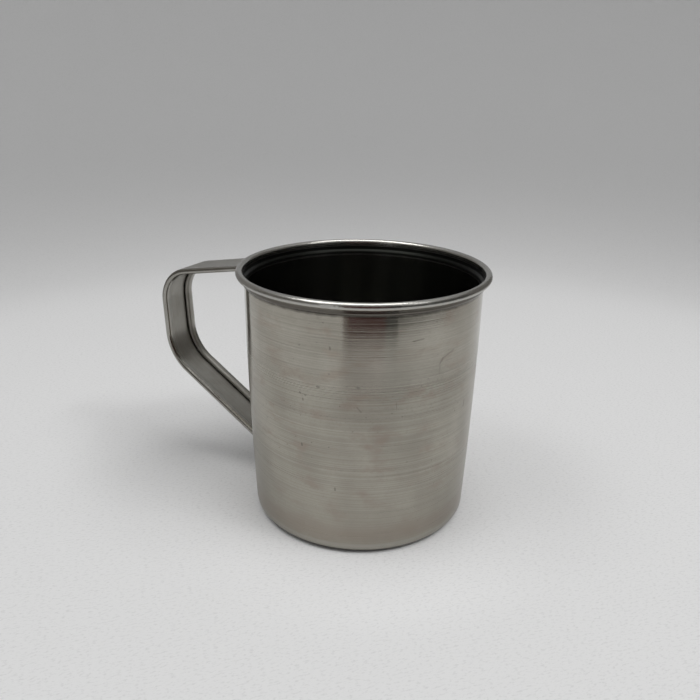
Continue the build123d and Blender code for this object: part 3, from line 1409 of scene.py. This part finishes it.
@dataclass
class SpotWelds:
    """The two nuggets that fix one tab to the wall.

    A nugget's root reaches into the wall, and its top stays a little under the
    tab's skin. Its face is given from its side to its middle, by how far in and
    how far down each point lies.
    """

    handle: Handle
    end: TabEnd
    root: float = 0.25
    inset: float = 0.12
    face: tuple[Point, ...] = ((0.0, 0.1), (0.05, 0.03), (0.2, 0.0), (0.5, 0.04), (0.9, 0.06))
    dish: float = 0.07
    segments: int = 48

    def seats(self) -> list[tuple[Vector, Vector]]:
        """Place the nuggets on the wall's skin.

        Returns:
            Each nugget's place in millimetres and its outward way.
        """
        low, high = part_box(self.end.value)
        height = (low.z + high.z) / 2 / MM
        radius = self.handle.cup.wall_skin(height)
        turn = math.asin(self.handle.weld_pitch / 2 / radius)
        ways = [Vector((-math.cos(turn), side * math.sin(turn), 0.0)) for side in (-1, 1)]
        return [(way * radius + Vector((0.0, 0.0, height)), way) for way in ways]

    def nugget(self) -> bpy.types.Object:
        """Make one nugget: a dished button with a soft ring round it.

        Returns:
            The nugget, upright on the origin.
        """
        radius = self.handle.weld_diameter / 2
        top = self.handle.sheet - self.inset
        outline = [(0.0, -self.root), (radius, -self.root)]
        outline += [(radius - inwards, top - drop) for inwards, drop in self.face]
        outline.append((0.0, top - self.dish))
        blank = line_mesh("weld_section", [(x, 0.0, z) for x, z in outline])
        mesh = turning_form().press(blank, {"Segments": self.segments, "Waver": 0.0})
        nugget = bpy.data.objects.new("weld_nugget", mesh)
        bpy.context.scene.collection.objects.link(nugget)
        return nugget

    def dress(self, steel: bpy.types.Material) -> bpy.types.Object:
        """Set the nuggets on their seats and add them as a piece.

        Args:
            steel: Their material.

        Returns:
            The piece.
        """
        seats = self.seats()
        blank = bpy.data.meshes.new("weld_seats")
        blank.from_pydata([place * MM for place, _ in seats], [], [])
        facing = blank.attributes.new("facing", "FLOAT_VECTOR", "POINT")
        for item, (_, way) in zip(facing.data, seats):
            item.vector = way
        nugget = self.nugget()
        mesh = seating_form().press(blank, {"Piece": nugget, "Material": steel})
        bpy.data.objects.remove(nugget)
        return add_piece(f"{self.end.name.lower()}_weld_pair", mesh)


# ---- Studio -----------------------------------------------------------------
@dataclass(frozen=True)
class Flag:
    """A dark or white card round the camera's side, which only reflections see.

    It spans an arc in degrees, its outline is made of distances and heights, and
    its drift is how much further out it stands at its end than at its start.
    """

    name: str
    start: float
    end: float
    outline: tuple[Point, ...]
    tone: Color
    drift: float = 0.0


@dataclass(frozen=True)
class Lamp:
    """A soft lamp that faces the mug, which steel may show or not.

    Its angle is in degrees, its first side is level and its second runs towards
    the mug's axis, and its power is in watts.
    """

    name: str
    angle: float
    distance: float
    height: float
    sides: Point
    power: float
    mirrored: bool = True


FLAGS = (
    Flag("room_flag", -100, 100, ((300, 1), (400, 2), (460, 60), (470, 420)), (0.2, 0.19, 0.175, 1.0)),
    Flag("left_flag", -150, -100, ((300, 1), (460, 60), (470, 420)), (0.3, 0.29, 0.28, 1.0)),
    Flag("right_flag", 100, 150, ((300, 1), (460, 60), (470, 420)), (0.22, 0.21, 0.2, 1.0)),
    Flag("brown_edge", -16, -12, ((219, 1), (236, 200)), (0.22, 0.17, 0.155, 1.0)),
    Flag("brown_flag", -12, 19, ((217, 1), (236, 200)), (0.08, 0.012, 0.01, 1.0)),
    Flag("black_flag", 19, 29.5, ((224, 1), (240, 200)), (0.008, 0.009, 0.008, 1.0)),
    Flag("grey_flag", 29.5, 95, ((241, 1), (254, 200)), (0.1, 0.1, 0.095, 1.0), 48),
    Flag("white_card", -33.5, -19.5, ((215, 1), (250, 160)), (0.9, 0.9, 0.9, 1.0)),
)
LAMPS = (
    Lamp("top_strip", -72, 125, 850, (380, 900), 3.9),
    Lamp("side_lamp", 62, 640, 720, (560, 560), 6.2, mirrored=False),
    Lamp("small_lamp", 62, 640, 720, (170, 170), 2.4),
)


@dataclass
class Studio:
    """The floor and backdrop, the cards and lamps, the dim room and the camera."""

    turn: float = math.radians(25.8)
    distance: float = 214.6
    height: float = 137.4
    lens: float = 36.0
    sensor: float = 36.0
    pitch: float = math.radians(21.3)
    yaw: float = math.radians(-1.05)
    roll: float = math.radians(-0.83)
    floor_radius: float = 330.0
    cove_radius: float = 260.0
    wall_height: float = 700.0
    stage_segments: int = 128
    cove_rows: int = 24
    card_step: float = 3.0
    room_tone: Color = (0.5, 0.5, 0.5, 1.0)
    room_light: float = 0.16
    room_gleam: float = 0.85

    def around(self, angle: float, distance: float, height: float) -> Vector:
        """Find a place in the studio.

        Args:
            angle: Its angle from the camera's side of the mug.
            distance: Its distance from the mug's axis.
            height: Its height.

        Returns:
            The place in metres.
        """
        bearing = self.turn - math.pi / 2 + angle
        way = Vector((math.cos(bearing), math.sin(bearing), 0.0))
        return way * distance * MM + Vector((0.0, 0.0, height * MM))

    def add_camera(self) -> None:
        """Stand the camera at its place."""
        camera = bpy.data.objects.new("camera", bpy.data.cameras.new("camera"))
        camera.data.lens = self.lens
        camera.data.sensor_width = self.sensor
        camera.data.clip_start = 1 * MM
        look = Matrix.Rotation(self.turn - self.yaw, 4, "Z")
        look = look @ Matrix.Rotation(math.pi / 2 - self.pitch, 4, "X")
        look = look @ Matrix.Rotation(-self.roll, 4, "Z")
        place = self.around(0.0, self.distance, self.height)
        camera.matrix_world = Matrix.Translation(place) @ look
        bpy.context.scene.collection.objects.link(camera)
        bpy.context.scene.camera = camera

    def add_stage(self) -> None:
        """Lay the floor, with its edge rising in a round cove all about."""
        rise = [(0.0, 0.0, 0.0), (self.floor_radius, 0.0, 0.0)]
        middle = (self.floor_radius, self.cove_radius)
        cove = arc(middle, self.cove_radius, -90, 90, self.cove_rows)
        rise += [(radius, 0.0, height) for radius, height in cove[1:]]
        rise.append((self.floor_radius + self.cove_radius, 0.0, self.wall_height))
        paper = StagePaper().material()
        inputs = {"Segments": self.stage_segments, "Waver": 0.0, "Material": paper}
        mesh = turning_form().press(line_mesh("stage_section", rise), inputs)
        stage = bpy.data.objects.new("paper_stage", mesh)
        bpy.context.scene.collection.objects.link(stage)
        shape = bmesh.new()
        shape.from_mesh(mesh)
        bmesh.ops.recalc_face_normals(shape, faces=shape.faces)
        shape.faces.ensure_lookup_table()
        if shape.faces[0].normal.z < 0:
            bmesh.ops.reverse_faces(shape, faces=shape.faces)
        shape.to_mesh(mesh)
        shape.free()

    def add_flag(self, flag: Flag) -> None:
        """Stand a card.

        Args:
            flag: The card.
        """
        count = max(2, round((flag.end - flag.start) / self.card_step))
        rows = len(flag.outline)
        places = []
        for number in range(count + 1):
            share = number / count
            angle = math.radians(flag.start + (flag.end - flag.start) * share)
            for distance, height in flag.outline:
                places.append(self.around(angle, distance + flag.drift * share, height))
        faces = [
            [(column + right) * rows + row + up for right, up in ((0, 0), (0, 1), (1, 1), (1, 0))]
            for column in range(count)
            for row in range(rows - 1)
        ]
        mesh = bpy.data.meshes.new(flag.name)
        mesh.from_pydata(places, [], faces)
        card = Surface(flag.name)
        mesh.materials.append(card.finish({"Base Color": flag.tone, "Roughness": 1.0}))
        piece = bpy.data.objects.new(flag.name, mesh)
        piece.visible_camera = False
        piece.visible_diffuse = False
        piece.visible_shadow = False
        bpy.context.scene.collection.objects.link(piece)

    def add_lamp(self, lamp: Lamp) -> None:
        """Hang a lamp.

        Args:
            lamp: The lamp.
        """
        light = bpy.data.lights.new(lamp.name, "AREA")
        light.shape = "RECTANGLE"
        light.size, light.size_y = (side * MM for side in lamp.sides)
        light.energy = lamp.power
        holder = bpy.data.objects.new(lamp.name, light)
        place = self.around(math.radians(lamp.angle), lamp.distance, lamp.height)
        aside = Vector((0.0, 0.0, 1.0)).cross(place).normalized()
        ahead = place.normalized()
        turned = Matrix((aside, ahead.cross(aside), ahead)).transposed()
        holder.location = place
        holder.rotation_mode = "QUATERNION"
        holder.rotation_quaternion = turned.to_quaternion()
        holder.visible_glossy = lamp.mirrored
        bpy.context.scene.collection.objects.link(holder)

    def add_room(self) -> None:
        """Surround the stage with a dim room, which steel shows brighter."""
        world = bpy.data.worlds.new("room")
        bpy.context.scene.world = world
        world.use_nodes = True
        room = Graph(world.node_tree)
        reflected = room.node("ShaderNodeLightPath", output="Is Glossy Ray")
        strength = self.room_light + reflected * self.room_gleam
        sockets = {"Color": self.room_tone, "Strength": strength}
        light = room.node("ShaderNodeBackground", None, sockets)
        room.node("ShaderNodeOutputWorld", None, {"Surface": light})


# ---- Making -----------------------------------------------------------------
def main() -> None:
    """Build the mug and its studio, piece by piece."""
    logging.basicConfig(level=logging.INFO, format="%(name)s: %(message)s")
    _, cup_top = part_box("cup_shell")
    cup = Cup(height=cup_top.z / MM, rim_radius=cup_top.y / MM)
    handle = Handle(cup)
    report(cup.dress(), "cup_shell")
    report(handle.dress(), "handle_strap")
    weld_steel = StrapSteel("weld_steel_finish", roughness=0.35).material()
    for end in TabEnd:
        report(SpotWelds(handle, end).dress(weld_steel), end.value)
    studio = Studio()
    studio.add_stage()
    for flag in FLAGS:
        studio.add_flag(flag)
    for lamp in LAMPS:
        studio.add_lamp(lamp)
    studio.add_room()
    studio.add_camera()
    bpy.context.scene.view_settings.view_transform = "Standard"


if __name__ == "__main__":
    main()
